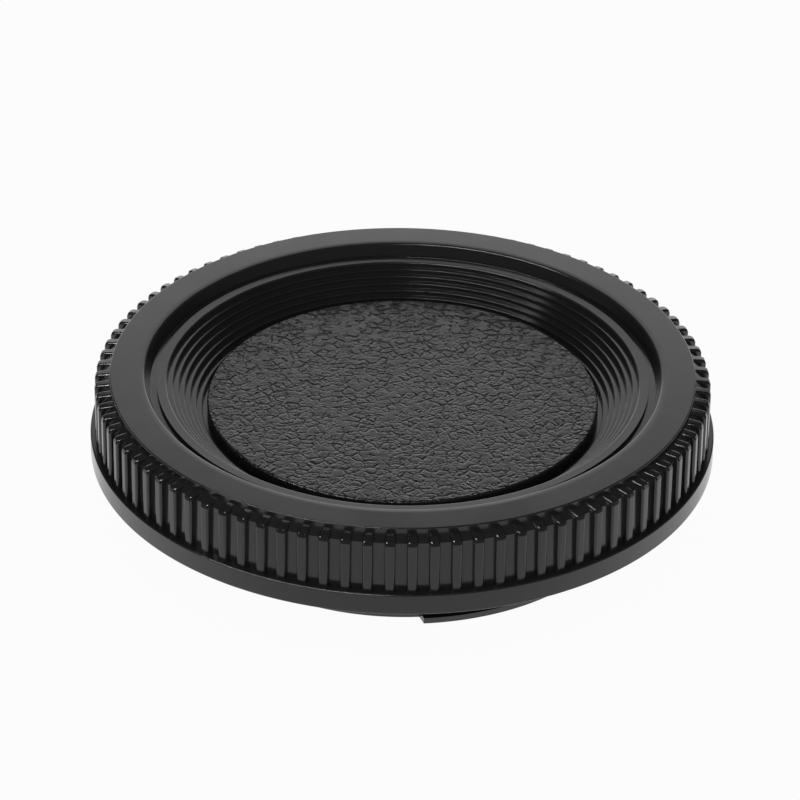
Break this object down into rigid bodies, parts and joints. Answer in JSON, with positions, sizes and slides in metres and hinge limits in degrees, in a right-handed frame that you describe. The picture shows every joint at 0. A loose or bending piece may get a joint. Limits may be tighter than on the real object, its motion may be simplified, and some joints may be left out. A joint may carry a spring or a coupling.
{
  "type": "camera body cap",
  "caption": "Round black camera body cap with a ribbed grip, a stepped recess holding a leather disc, and a short bayonet collar with lugs underneath.",
  "frame": {"origin": "centre of the collar's end face, the plane that the cap stands on", "axes": "+Z along the cap's axis, from the bayonet collar up to the top face; +X to the right and -Y to the front as the picture shows it"},
  "size_m": [0.0622, 0.0622, 0.015],
  "materials": {
    "black_plastic": "smooth moulded black plastic with a satin shine",
    "black_leather": "black leather with a pressed pebble grain"
  },
  "bodies": {
    "root": {"cap_body": "black_plastic", "leather_disc": "black_leather"}
  },
  "joints": []
}
